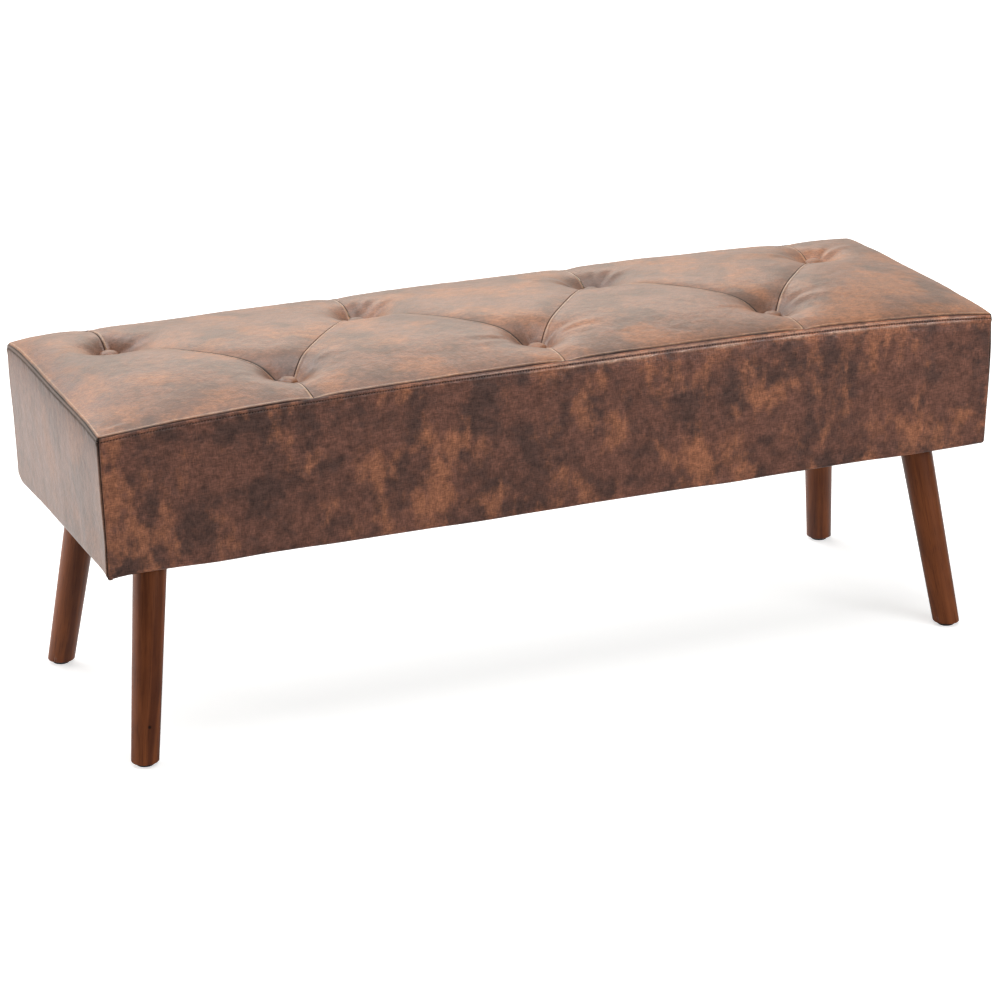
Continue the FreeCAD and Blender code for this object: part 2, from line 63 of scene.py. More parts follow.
camera_turn = (
    Matrix.Rotation(camera_azimuth, 4, "Z")
    @ Matrix.Rotation(math.pi / 2 - camera_elevation, 4, "X")
    @ Matrix.Rotation(camera_roll, 4, "Z")
)
camera_data = bpy.data.cameras.new("camera")
camera_data.lens = lens_in_pixels / photo_width * camera_data.sensor_width
camera = bpy.data.objects.new("camera", camera_data)
stand_back = Matrix.Translation((0, 0, camera_distance))
camera.matrix_world = Matrix.Translation(camera_target) @ camera_turn @ stand_back
scene.collection.objects.link(camera)
scene.camera = camera
scene.view_settings.view_transform = "Standard"


# Studio: a pale floor under a white background, with soft lamps on all sides and above.
# Only the camera and the reflections see the white; the lamps stay at a plain level.
room_light = 0.20
room_color = (1.0, 0.95, 0.86, 1)
plain_white = (1, 1, 1, 1)
floor_white = 0.8
floor_glow = 0.60
shaded_reach = 1.0
white_reach = 2.6
mirrored_floor_glow = 0.42
front_mirrored = 0.12


def put(tree, kind, *values, **named):
    """Adds a shader node: values fill its first sockets, capital names are sockets, small ones settings."""
    made = tree.nodes.new("ShaderNode" + kind)
    for name, value in named.items():
        if name[0].islower():
            setattr(made, name, value)
    sockets = list(enumerate(values))
    sockets += [(name.replace("_", " "), value) for name, value in named.items() if name[0].isupper()]
    for socket, value in sockets:
        if isinstance(value, bpy.types.NodeSocket):
            tree.links.new(value, made.inputs[socket])
        elif value is not None:
            made.inputs[socket].default_value = value
    return made


def reckon(tree, operation, *values):
    return put(tree, "Math", *values, operation=operation).outputs[0]


def times(tree, first, second):
    return reckon(tree, "MULTIPLY", first, second)


def plus(tree, value, share, rest):
    """A share of a value on top of the rest."""
    return reckon(tree, "MULTIPLY_ADD", value, share, rest)


def band_of(tree, value, low, high, to_low=0.0, to_high=1.0):
    """Stretches what lies between two values over a new range, softly at both ends."""
    made = put(tree, "MapRange", value, low, high, to_low, to_high, interpolation_type="SMOOTHSTEP")
    return made.outputs[0]


def mix_value(tree, amount, first, second):
    return put(tree, "Mix", amount, A=first, B=second).outputs[0]


def mix(tree, amount, first, second, blend_type="MIX"):
    """Mixes two colours, or with another blend type lays the second over the first."""
    unused_sockets = [None] * 5
    made = put(
        tree, "Mix", amount, *unused_sockets, first, second, data_type="RGBA", blend_type=blend_type,
    )
    return made.outputs[2]


def seen_and_mirrored(tree):
    """Whether a ray comes from the camera, and whether it is a reflection or comes through glass."""
    rays = put(tree, "LightPath").outputs
    return rays["Is Camera Ray"], reckon(tree, "MAXIMUM", rays["Is Glossy Ray"], rays["Is Transmission Ray"])


def new_finish(name):
    """New material without nodes, and its node tree."""
    finish = bpy.data.materials.new(name)
    finish.use_nodes = True
    finish.node_tree.nodes.clear()
    return finish, finish.node_tree


studio = bpy.data.worlds.new("studio")
studio.use_nodes = True
studio.node_tree.nodes.clear()
tree = studio.node_tree
direction = put(tree, "SeparateXYZ", put(tree, "TexCoord").outputs["Generated"])
behind = band_of(tree, direction.outputs["Y"], -0.35, 0.35, front_mirrored, 1.0)
seen, mirrored = seen_and_mirrored(tree)
brightness = mix_value(tree, mirrored, room_light, behind)
brightness = mix_value(tree, seen, brightness, 1.0)
tint = mix(tree, seen, room_color, plain_white)
background = put(tree, "Background", Color=tint, Strength=brightness)
put(tree, "OutputWorld", background.outputs[0])
scene.world = studio

floor_finish, tree = new_finish("studio_floor")
place = put(tree, "NewGeometry").outputs["Position"]
behind = band_of(tree, put(tree, "SeparateXYZ", place).outputs["Y"], -0.5, 0.5)
far = put(tree, "VectorMath", place, operation="LENGTH").outputs["Value"]
seen, mirrored = seen_and_mirrored(tree)
seen_glow = times(tree, seen, band_of(tree, far, shaded_reach, white_reach, floor_glow, 1.0))
mirrored_glow = times(tree, times(tree, mirrored, behind), mirrored_floor_glow)
in_front = times(tree, mirrored, reckon(tree, "SUBTRACT", 1.0, behind))
shade = mix_value(tree, in_front, floor_white, floor_white * front_mirrored)
matt = put(tree, "BsdfDiffuse", Color=put(tree, "CombineColor", shade, shade, shade).outputs[0])
glow = put(tree, "Emission", Strength=reckon(tree, "MAXIMUM", seen_glow, mirrored_glow))
put(tree, "OutputMaterial", put(tree, "AddShader", matt.outputs[0], glow.outputs[0]).outputs[0])
floor_mesh = bpy.data.meshes.new("floor")
floor_shape = bmesh.new()
bmesh.ops.create_grid(floor_shape, x_segments=8, y_segments=8, size=14)
floor_shape.to_mesh(floor_mesh)
floor_shape.free()
floor_mesh.materials.append(floor_finish)
floor = bpy.data.objects.new("floor", floor_mesh)
scene.collection.objects.link(floor)


def softbox(name, stand, size, power, color=(1, 1, 1)):
    """Rectangular soft lamp, turned towards the middle of the seat."""
    light = bpy.data.lights.new(name, "AREA")
    light.shape = "RECTANGLE"
    light.color = color
    light.size, light.size_y = size
    light.energy = power
    lamp = bpy.data.objects.new(name, light)
    lamp.location = stand
    lamp.rotation_euler = (Vector((0, 0, 0.4)) - Vector(stand)).to_track_quat("-Z", "Y").to_euler()
    scene.collection.objects.link(lamp)


softbox("left_lamp", (-2.5, 1.5, 0.8), (1.6, 1.0), 40)
softbox("rear_lamp", (-1.3, 2.4, 2.8), (2.2, 1.2), 44)
softbox("far_lamp", (0.9, 3.0, 1.75), (2.2, 0.8), 16, (1.0, 0.94, 0.84))
softbox("top_lamp", (0.1, 0.0, 2.9), (2.6, 1.6), 56)
softbox("front_lamp", (2.4, -2.7, 1.6), (1.0, 1.0), 14)
softbox("sheen_lamp", (1.5, -2.7, 1.4), (1.6, 0.5), 27, (0.94, 0.97, 1.0))


# Leather of the cover: faux leather with a waxed, rubbed finish and a fine pebbled grain.
# Dark smoky clouds and rust patches lie over a middle brown, softer and duller on the top and the ends.
# Painted light in it: painted highlights on the rubbed lips and by the stitches, painted shade in seams,
# holes and corners, and a painted grey sheen on the left end.
leather_middle = (0.178, 0.070, 0.045, 1)
leather_smoky = (0.086, 0.040, 0.030, 1)
leather_rust = (0.345, 0.124, 0.058, 1)
# Colour of rubbed leather, also laid on as painted highlights.
leather_rub_and_highlight = (0.480, 0.275, 0.190, 1)
leather_faded_tint = (0.96, 1.02, 0.86, 1)
# Painted grey sheen on the left end.
leather_sheen_grey = (0.250, 0.205, 0.172, 1)
leather_roughness = 0.44
cloud_scale = 8.0
smoke_scale = 19.0
soft_smoke_scale = 14.0
patch_scale = 26.0
soft_patch_scale = 17.0
mottle_scale = 90.0
pebble_scale = 620.0
wrinkle_scale = 150.0
# Fading above 1 also lays on the painted grey sheen; the left end has most.
most_faded_and_sheen = 1.6
end_fading_and_sheen = {"left": most_faded_and_sheen, "right": 0.8}


def new_group(name, **inputs):
    """Empty shader node group that gives colour, roughness and height, and its sockets seen from inside."""
    group = bpy.data.node_groups.new(name, "ShaderNodeTree")
    for socket, kind in inputs.items():
        group.interface.new_socket(socket, in_out="INPUT", socket_type="NodeSocket" + kind)
    for socket, kind in (("Color", "Color"), ("Roughness", "Float"), ("Height", "Float")):
        group.interface.new_socket(socket, in_out="OUTPUT", socket_type="NodeSocket" + kind)
    return group, group.nodes.new("NodeGroupInput").outputs, group.nodes.new("NodeGroupOutput").inputs


def own_place(tree):
    """Place on the piece itself, in metres, where its patterns are laid out."""
    return put(tree, "TexCoord").outputs["Object"]


def cloudy(tree, place, scale, detail, roughness=0.5, **settings):
    """Soft noise from 0 to 1 over the surface."""
    made = put(tree, "TexNoise", Vector=place, Scale=scale, Detail=detail, Roughness=roughness, **settings)
    return made.outputs["Fac"]


def drawn(tree, place, *scales):
    """The place for a pattern, scaled along each axis, so that the pattern is longest where it is least."""
    return put(tree, "VectorMath", place, scales, operation="MULTIPLY").outputs[0]


def darkened(tree, color, value):
    """A colour times a value, which is above 1 where it gets lighter."""
    return mix(tree, 1.0, color, put(tree, "CombineColor", value, value, value).outputs[0], "MULTIPLY")


rubbed_leather, given, result = new_group(
    "rubbed_leather",
    Vector="Vector", Middle="Color", Smoky="Color", Rust="Color", Rubbed="Color", Dusty="Color",
    Wear="Float", Crease="Float", Faded="Float",
)
tree = rubbed_leather
place, wear_and_highlight, painted_shade, fading_and_sheen = given["Vector"], given["Wear"], given["Crease"], given["Faded"]
hanging = drawn(tree, place, 1.0, 1.0, 0.62)
patches = cloudy(tree, hanging, patch_scale, 8.0, 0.62)
mottle = cloudy(tree, place, mottle_scale, 3.0, 0.6)
smoke = cloudy(tree, place, smoke_scale, 7.0, 0.66)
softer = times(tree, fading_and_sheen, 0.90)
smoke_place = mix_value(tree, softer, smoke, cloudy(tree, place, soft_smoke_scale, 2.0))
patch_place = mix_value(tree, softer, patches, cloudy(tree, hanging, soft_patch_scale, 2.0))
rust_place = times(tree, wear_and_highlight, 0.05)
rust_place = plus(tree, cloudy(tree, place, cloud_scale, 3.0), 0.40, rust_place)
rust_place = plus(tree, patch_place, 0.60, rust_place)
rust_mask = band_of(tree, rust_place, 0.49, 0.61)
rust_mask = times(tree, rust_mask, band_of(tree, fading_and_sheen, 0.0, most_faded_and_sheen, 1.0, 0.32))
smoke_mask = band_of(tree, smoke_place, 0.44, 0.62)
smoke_mask = times(tree, smoke_mask, band_of(tree, fading_and_sheen, 0.0, most_faded_and_sheen, 0.9, 0.52))
tone = mix(tree, smoke_mask, given["Middle"], given["Smoky"])
tone = mix(tree, rust_mask, tone, given["Rust"])
# Rubbed wear and painted highlights: lighter towards the rubbed colour where that mask is high.
tone = mix(tree, band_of(tree, wear_and_highlight, 0.35, 1.1, 0.0, 0.8), tone, given["Rubbed"])
tone = mix(tree, 1.0, tone, mix(tree, fading_and_sheen, plain_white, leather_faded_tint), "MULTIPLY")
# Painted grey sheen where fading goes above 1, on the left end.
tone = mix(tree, band_of(tree, fading_and_sheen, 1.0, most_faded_and_sheen, 0.0, 0.16), tone, given["Dusty"])
upright = cloudy(tree, drawn(tree, place, 900.0, 900.0, 160.0), 1.0, 2.0, 0.6)
level = cloudy(tree, drawn(tree, place, 150.0, 260.0, 900.0), 1.0, 2.0, 0.6)
speckle = band_of(tree, reckon(tree, "ADD", upright, level), 0.66, 1.34, 0.58, 1.46)
speckle = times(tree, speckle, band_of(tree, mottle, 0.25, 0.75, 0.76, 1.26))
speckle = mix_value(tree, times(tree, fading_and_sheen, 0.22), speckle, 1.0)
# Painted shade: darker, down to 0.16, in the seams, needle holes and corners and under the button rims.
speckle = times(tree, speckle, band_of(tree, painted_shade, 0.0, 1.0, 1.0, 0.16))
tree.links.new(darkened(tree, tone, speckle), result["Color"])
pebbles = put(tree, "TexVoronoi", Vector=place, Scale=pebble_scale, feature="SMOOTH_F1")
wrinkles = put(tree, "TexVoronoi", Vector=place, Scale=wrinkle_scale, feature="DISTANCE_TO_EDGE")
relief = times(tree, pebbles.outputs["Distance"], -0.5)
relief = plus(tree, patches, 1.2, relief)
relief = plus(tree, mottle, 4.5, relief)
relief = reckon(tree, "ADD", relief, band_of(tree, wrinkles.outputs["Distance"], 0.0, 0.12, 0.0, 0.35))
tree.links.new(relief, result["Height"])
rough = plus(tree, smoke_mask, 0.04, leather_roughness - 0.08)
rough = plus(tree, level, 0.12, rough)
rough = plus(tree, painted_shade, 0.4, rough)
rough = plus(tree, band_of(tree, wear_and_highlight, 0.3, 1.0), -0.14, rough)
tree.links.new(plus(tree, rust_mask, 0.05, rough), result["Roughness"])


def coat_with(tree, bump_distance, color, height, **sockets):
    """The material's own shader, with its colour, its relief and the sockets that are the same all over."""
    bump = put(tree, "Bump", Strength=1.0, Distance=bump_distance, Height=height)
    shader = put(tree, "BsdfPrincipled", Base_Color=color, Normal=bump.outputs[0], **sockets)
    put(tree, "OutputMaterial", shader.outputs[0])


leather, tree = new_finish("brown_leather")
# Masks from the pieces: wear with painted highlights, painted shade, and fading with a painted grey sheen.
masks = {
    name: put(tree, "Attribute", attribute_name=name.lower()).outputs["Fac"]
    for name in ("Wear", "Crease", "Faded")
}
surface = put(
    tree, "Group", node_tree=rubbed_leather, Vector=own_place(tree), **masks,
    Middle=leather_middle, Smoky=leather_smoky, Rust=leather_rust, Rubbed=leather_rub_and_highlight, Dusty=leather_sheen_grey,
).outputs
coat_with(
    tree, 0.00022, surface["Color"], surface["Height"], Roughness=surface["Roughness"],
    Specular_IOR_Level=0.5, Coat_Weight=0.15, Coat_Roughness=0.30,
)


# Top of the cover: seven leather panels sewn edge to edge over foam and wadding.
# The seams run from button to button and from each button straight to the nearer long edge.
block_bottom = 0.248
corner_height = 0.418
long_rise = 0.016
rear_flattening = 0.003
end_rise = 0.006
crown = 0.017
dimple_radius = 0.028
rear_dimple_radius = 0.031
narrow_dimple_radius = 0.020
wide_dimple_radius = 0.036
corner_radius = 0.005
end_fullness = 0.003
lower_end_fullness = {"left": -0.001, "right": 0.003}
rear_left_rise = 0.008
rear_right_rise = 0.003
seam_sink = 0.0034
sink_width = 0.013
seam_roll = 0.0012
lip_height = 0.0009
lip_place = 0.0024
lip_width = 0.0015
edge_roll = 0.0009
rim_lip = 0.0006
rim_lip_place = 0.0022
rim_lip_width = 0.0013
edge_shoulder = 0.0012
shoulder_width = 0.006
# Painted shade along the seams and the rim, and beside seams that fall to the front.
seam_shade_width = 0.0006
rim_shade_width = 0.0005
lean_shade_place = 0.0015
lean_shade_width = 0.0011
# Painted highlights on the rubbed seam lips and rim lip.
seam_rub_highlight_width = 0.0017
rim_rub_highlight_place = 0.0024
rim_rub_highlight_width = 0.0012
unevenness = 0.0012
fine_unevenness = 0.00030
corner_set_in = 0.0012
other_set_in = 0.0024
front_roll_in = 0.0052
rim_reach = 0.012
weld_distance = 0.00001
seam_allowance = 0.0024
leather_thickness = 0.0012
close_steps = (0, 0.0003, 0.0008, 0.0015, 0.0024, 0.0036, 0.0052, 0.0073)
even_step = 0.0029
fold_start = 0.0125
tuck_count = 13
tuck_height = 0.0006
tuck_reach = 0.008

half_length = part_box("side_band_right")[1].x
half_depth = -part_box("side_band_front")[0].y
buttons = {}
for row, count in (("rear", 4), ("front", 3)):
    for number in range(1, count + 1):
        low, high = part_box("button_%s_%d" % (row, number))
        buttons["%s_%d" % (row, number)] = (low + high) / 2
zigzag = sorted(buttons.values(), key=lambda button: button.x)
button_row = zigzag[0].y
dimples = [(place.x, place.y, name == "rear_1") for name, place in buttons.items()]

# Long soft folds that run out from the buttons and a corner: direction in degrees, reach, width, height.
long_folds = {
    "rear_1": [(12, 0.065, 0.006, 0.0007), (195, 0.080, 0.007, 0.0009)],
    "rear_2": [(26, 0.110, 0.009, 0.0022), (53, 0.085, 0.007, 0.0018), (163, 0.120, 0.008, 0.0014)],
    "rear_3": [(20, 0.120, 0.008, 0.0014), (48, 0.085, 0.007, 0.0019), (162, 0.130, 0.009, 0.0018)],
    "rear_4": [(25, 0.100, 0.007, 0.0020), (55, 0.075, 0.006, 0.0011), (168, 0.110, 0.009, 0.0017)],
    "front_1": [(20, 0.090, 0.008, 0.0011), (182, 0.095, 0.008, 0.0010)],
    "front_2": [
        (8, 0.120, 0.008, 0.0018), (-11, 0.090, 0.006, 0.0011),
        (176, 0.120, 0.007, 0.0018), (193, 0.100, 0.006, 0.0012),
    ],
    "front_3": [(5, 0.110, 0.008, 0.0015), (29, 0.090, 0.006, 0.0010), (177, 0.095, 0.007, 0.0011)],
    "corner": [(2, 0.050, 0.0045, 0.0016)],
}
fold_roots = dict(buttons, corner=Vector((-half_length + 0.002, -half_depth + 0.0135, corner_height)))


def smooth_step(value, low, high):
    share = min(max((value - low) / (high - low), 0), 1)
    return share * share * (3 - 2 * share)


def hump(aside, width):
    """Smooth hump of height 1 where aside is 0."""
    return math.exp(-((aside / width) ** 2))


def waver(x, y, z):
    """Soft unevenness from -1 to 1."""
    return noise.noise(Vector((x, y, z)))


def stuff_ends(place):
    """Moves a point of the cover out where the ends are stuffed past the frame, most at their top."""
    height_share = min(max((place.z - block_bottom) / (corner_height - block_bottom), 0), 1)
    low = lower_end_fullness["left" if place.x < 0 else "right"]
    out = low + (end_fullness - low) * height_share
    place.x += math.copysign(out * min(abs(place.x) / half_length, 1) ** 8, place.x)


def seat_height(x, y):
    """The stuffed top's general shape: bowed edges, a crown, and a dimple at each button."""
    along = min(abs(x) / half_length, 1.0)
    across = min(abs(y) / half_depth, 1.0)
    rear_share = (1 + y / half_depth) / 2
    fuller = max(-x / half_length, 0) * rear_share
    end_share = along ** (3.5 + 3 * fuller)
    rise = long_rise - rear_flattening * rear_share
    seam = corner_height + rise * (1 - end_share) + end_rise * (1 - across**3) * end_share
    corner_rise = rear_left_rise if x < 0 else rear_right_rise
    seam += corner_rise * smooth_step(abs(x), 0.40, 0.57) * smooth_step(rear_share, 0.3, 1)
    height = seam + crown * (1 - along ** (8 + 12 * fuller)) * (1 - across**2.6)
    for button_x, button_y, uneven in dimples:
        away = math.hypot(x - button_x, y - button_y)
        radius = dimple_radius if button_y < 0 else rear_dimple_radius
        if uneven:
            forward = smooth_step((button_y - y) / (away + 0.001), -0.6, 0.6)
            radius = narrow_dimple_radius + forward * (wide_dimple_radius - narrow_dimple_radius)
        height -= (height - corner_height) / (1 + (away / radius) ** 2.8)
    return height


# Each seam's start, direction and length, and 1 or -1 for the side that its sewn allowance lifts.
seam_ends = [(first, last, -1) for first, last in zip(zigzag, zigzag[1:])]
for button in zigzag:
    edge = Vector((button.x, math.copysign(half_depth, button.y), button.z))
    seam_ends.append((button, edge, -1 if button is zigzag[0] or button.y < 0 else 1))
seams = []
for first, last, lifted in seam_ends:
    run = (last - first).to_2d()
    seams.append((first.x, first.y, tuple(run.normalized()), run.length, lifted))


def nearest_seam(x, y):
    """Distance to the nearest seam, negative on the side that its allowance doesn't lift."""
    nearest = 0.06
    for start_x, start_y, (run_x, run_y), reach, lifted in seams:
        from_x, from_y = x - start_x, y - start_y
        aside = run_x * from_y - run_y * from_x
        if abs(aside) >= abs(nearest):
            continue
        ahead = from_x * run_x + from_y * run_y
        away = math.hypot(aside, max(-ahead, ahead - reach, 0))
        if away < abs(nearest):
            nearest = away if aside * lifted > 0 else -away
    return nearest


def painted_shade_at(x, y, seam, edge):
    """How much painted shade a point gets in a seam and at the rim; a zigzag seam that falls to the front
    leans over its far side, where more painted shade lies.
    """
    leaning = abs(y) < abs(button_row) and any(
        first.x < x < last.x and first.y > last.y for first, last in zip(zigzag, zigzag[1:])
    )
    shade_amount = hump(seam, seam_shade_width) + 0.7 * hump(edge, rim_shade_width)
    if leaning:
        shade_amount += hump(seam + lean_shade_place, lean_shade_width)
    return min(shade_amount, 1)


def edge_distance(x, y):
    """Distance inwards from the rounded outline of the seat."""
    past_x = abs(x) - (half_length - corner_radius)
    past_y = abs(y) - (half_depth - corner_radius)
    if past_x > 0 and past_y > 0:
        return corner_radius - math.hypot(past_x, past_y)
    return corner_radius - max(past_x, past_y)


def rolled(distance, radius):
    """How far a rolled edge has dropped at this distance from its seam."""
    if distance >= radius:
        return 0.0
    return radius - math.sqrt(max(radius**2 - (radius - max(distance, 0)) ** 2, 0))


def fold_rise(x, y):
    """Height of the long folds, each with a shallow trough beside it, and of the tucks round the buttons."""
    rise = 0.0
    for name, folds in long_folds.items():
        away_x, away_y = x - fold_roots[name].x, y - fold_roots[name].y
        away = math.hypot(away_x, away_y)
        for direction, reach, width, height in folds:
            turn = math.atan2(away_y, away_x) - math.radians(direction)
            if fold_start < away < reach and math.cos(turn) >= 0:
                aside = away * math.sin(turn)
                spread = width * (0.55 + 0.7 * away / reach)
                fade = min((away - fold_start) / 0.012, 1) * (1 - away / reach) ** 1.1
                trough = hump(aside - 1.8 * spread, spread)
                rise += 1.3 * height * fade * (hump(aside, spread) - 0.6 * trough)
    for button in zigzag:
        away_x, away_y = x - button.x, y - button.y
        if abs(away_x) + abs(away_y) < 0.05:
            away = math.hypot(away_x, away_y)
            turn = math.atan2(away_y, away_x)
            wander = 2.2 * waver(math.cos(turn), math.sin(turn), button.x * 9)
            tuck = math.cos(tuck_count * turn + 3 * wander)
            rise += tuck_height * tuck * hump(away - fold_start, tuck_reach)
    return rise


def seam_dip(seam):
    """How far a seam draws the stuffing down at this distance from it."""
    return seam_sink * math.exp(-((abs(seam) / sink_width) ** 1.3))


def cover_height(x, y, seam, edge):
    """Outside of the leather: the seat's shape with its seams, rolled edges, folds and slight unevenness."""
    height = seat_height(x, y) - seam_dip(seam)
    if seam > 0:
        height += lip_height * hump(seam - lip_place, lip_width)
    height += edge_shoulder * (1 - math.exp(-edge / shoulder_width))
    height += rim_lip * hump(edge - rim_lip_place, rim_lip_width)
    height += unevenness * waver(x * 13, y * 17, 2.0) + fine_unevenness * waver(x * 60, y * 75, 5.0)
    return height + fold_rise(x, y) - rolled(abs(seam), seam_roll) - rolled(edge, edge_roll)


def grid_line(index, count, reach):
    """Place of one line of a panel's grid: close together by both sides, evenly spaced between."""
    close = len(close_steps) - 1
    if index <= close:
        return close_steps[index]
    if count - index <= close:
        return reach - close_steps[count - index]
    share = (index - close) / (count - 2 * close)
    return close_steps[-1] + share * (reach - 2 * close_steps[-1])


def lines_over(reach):
    return 2 * (len(close_steps) - 1) + round((reach - 2 * close_steps[-1]) / even_step)


def seam_y(x):
    """Where the zigzag seam crosses this place along the bench."""
    for first, last in zip(zigzag, zigzag[1:]):
        if first.x <= x <= last.x:
            return first.y + (last.y - first.y) * (x - first.x) / (last.x - first.x)
    return zigzag[0].y if x < zigzag[0].x else zigzag[-1].y


long_rows = lines_over(half_depth + button_row)
short_rows = lines_over(half_depth - button_row)


def add_stretch(shape, low_x, high_x, kind):
    """Part of a panel between two crosswise lines: in front of the zigzag seam, or behind it."""
    columns = lines_over(high_x - low_x)
    rows = short_rows if kind == "behind_row" else long_rows
    made = bmesh.ops.create_grid(shape, x_segments=columns, y_segments=rows, size=0.5)
    for vertex in made["verts"]:
        column = round((vertex.co.x + 0.5) * columns)
        row = round((vertex.co.y + 0.5) * rows)
        x = low_x + grid_line(column, columns, high_x - low_x)
        low_y = -half_depth if kind == "front" else seam_y(x)
        high_y = seam_y(x) if kind == "front" else half_depth
        vertex.co = (x, low_y + grid_line(row, rows, high_y - low_y), 0)


def seam_set_in(side, run, to_corner):
    """How far the top seam has rolled in from its band's face: most along the front's right half."""
    if side == "front":
        set_in = corner_set_in + front_roll_in * smooth_step(run, -0.30, 0.12)
    else:
        set_in = other_set_in + 0.0008 * waver(run * 5, len(side), 0.5)
    return corner_set_in + (set_in - corner_set_in) * smooth_step(to_corner, 0, 0.06)


def draw_in(place):
    """Moves a point of the top in from the faces of the bands, by as much as its seam has rolled in."""
    x, y = place.x, place.y
    from_end, from_side = half_length - abs(x), half_depth - abs(y)
    end = seam_set_in("left" if x < 0 else "right", y, from_side)
    side = seam_set_in("front" if y < 0 else "rear", x, from_end)
    place.x -= math.copysign(end * math.exp(-from_end / rim_reach), x)
    place.y -= math.copysign(side * math.exp(-from_side / rim_reach), y)


def round_corner(place):
    """Draws a point in a corner square of the grid in to the rounded outline."""
    past_x = (abs(place.x) - (half_length - corner_radius)) / corner_radius
    past_y = (abs(place.y) - (half_depth - corner_radius)) / corner_radius
    if past_x > 0 and past_y > 0:
        inward_x = 1 - past_x * math.sqrt(1 - past_y**2 / 2)
        inward_y = 1 - past_y * math.sqrt(1 - past_x**2 / 2)
        place.x = math.copysign(half_length - corner_radius * inward_x, place.x)
        place.y = math.copysign(half_depth - corner_radius * inward_y, place.y)


def add_piece(name, shape, finish, slot, *nodes):
    """Makes a mesh a piece of the bench, fixed to it, with its finish, in the place of its CAD nodes."""
    mesh = bpy.data.meshes.new(name)
    for face in shape.faces:
        face.smooth = True
    shape.to_mesh(mesh)
    shape.free()
    mesh.materials.append(finish)
    piece = bpy.data.objects.new(name, mesh)
    scene.collection.objects.link(piece)
    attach(piece, "root")
    if nodes:
        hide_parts(*nodes)
    return piece


def thicken(piece, thickness, offset=-1):
    """Gives a sheet its thickness, on the inside or, with offset 1, on the outside."""
    wall = piece.modifiers.new("thickness", "SOLIDIFY")
    wall.thickness = thickness
    wall.offset = offset


def new_masks(shape):
    """Values at a cover piece's vertices for its finish: rubbed edges with painted highlights, painted shade
    in creases, and fading with a painted sheen.
    """
    return [shape.verts.layers.float.new(name) for name in ("wear", "crease", "faded")]


def turn_down(shape):
    """Adds a strip along a sheet's open border, and gives its new vertices, to be moved down."""
    border = [line for line in shape.edges if line.is_boundary]
    made = bmesh.ops.extrude_edge_only(shape, edges=border)
    return [part for part in made["geom"] if isinstance(part, bmesh.types.BMVert)]


def sew_panel(name, stretches):
    """One leather panel: its stretches joined, shaped over the seat, with its allowances turned down."""
    shape = bmesh.new()
    wear, crease, faded = new_masks(shape)
    for start, kind in stretches:
        add_stretch(shape, crossings[start], crossings[start + 1], kind)
    bmesh.ops.remove_doubles(shape, verts=shape.verts, dist=weld_distance)
    for vertex in shape.verts:
        round_corner(vertex.co)
        x, y = vertex.co.x, vertex.co.y
        seam, edge = nearest_seam(x, y), edge_distance(x, y)
        vertex.co.z = cover_height(x, y, seam, edge)
        draw_in(vertex.co)
        # Painted highlights as light lines on the rubbed seam lips and rim lip, rubbing near the edges and
        # seams, and painted shade in the seams.
        rub_and_highlight = hump(seam - lip_place, seam_rub_highlight_width) + hump(edge - rim_rub_highlight_place, rim_rub_highlight_width)
        vertex[crease] = painted_shade_at(x, y, seam, edge)
        vertex[faded] = 1
        vertex[wear] = 0.2 * math.exp(-edge / 0.03) + 0.15 * math.exp(-abs(seam) / 0.012) + 0.65 * rub_and_highlight
    for place in (vertex.co for vertex in turn_down(shape)):
        place.z -= seam_allowance
        if edge_distance(place.x, place.y) < 0.006:
            place.x -= math.copysign(seam_allowance, place.x) * (abs(place.x) / half_length) ** 40
            place.y -= math.copysign(seam_allowance, place.y) * (abs(place.y) / half_depth) ** 20
    for vertex in shape.verts:
        stuff_ends(vertex.co)
    panel = add_piece("leather_" + name, shape, leather, "cover_leather", "top_panel_" + name)
    thicken(panel, leather_thickness)


# Lines across the bench at its ends and through each button, and the stretches that make up each panel.
crossings = [-half_length, *(button.x for button in zigzag), half_length]
sew_panel("left_end", [(0, "front"), (0, "behind_row"), (1, "front")])
sew_panel("right_end", [(7, "front"), (7, "behind_row"), (6, "front")])
for number in (1, 2, 3):
    sew_panel("rear_%d" % number, [(2 * number - 1, "rear"), (2 * number, "rear")])
for number in (1, 2):
    sew_panel("front_%d" % number, [(2 * number, "front"), (2 * number + 1, "front")])


# Side bands: four strips of the same leather, sewn under the edge of the top panels.
# Each is top stitched below the seam, joined to its neighbours at the corners, and turned under as a hem.
fold_drop = 0.0036
side_lean = 0.003
lower_radius = 0.006
corner_drop = 0.004
left_hem_lift = 0.0035
rear_corner_lift = 0.019
hem_width = 0.026
hem_wave = 0.0018
stitch_pitch = 0.0036
stitch_drop = 0.0047
roll_reach = 0.0062
strip_lift = 0.0006
tuck_depth = 0.0006
tuck_drop = 0.0008
line_sink = 0.0004
needle_sink = 0.0009
# Painted highlights on the strip above the stitches and in shining patches below them, over rubbing.
rub_highlight_drop = 0.0022
shine_drop = 0.0066
shine_for_roll = 190
# Painted shade along the top of the end bands.
end_shade = 0.65
end_shade_drop = 0.028
upper_drops = (
    0, 0.0002, 0.0005, 0.0010, 0.0017, 0.0026, 0.0034, 0.0040, 0.0044, 0.0047, 0.0050, 0.0054, 0.0060,
    0.0069, 0.0081, 0.0096, 0.0115, 0.0140, 0.0170, 0.0210, 0.0260,
)
face_rows = 22
turn_rows = 6
hem_rows = 4
upright_roll = 0.0011


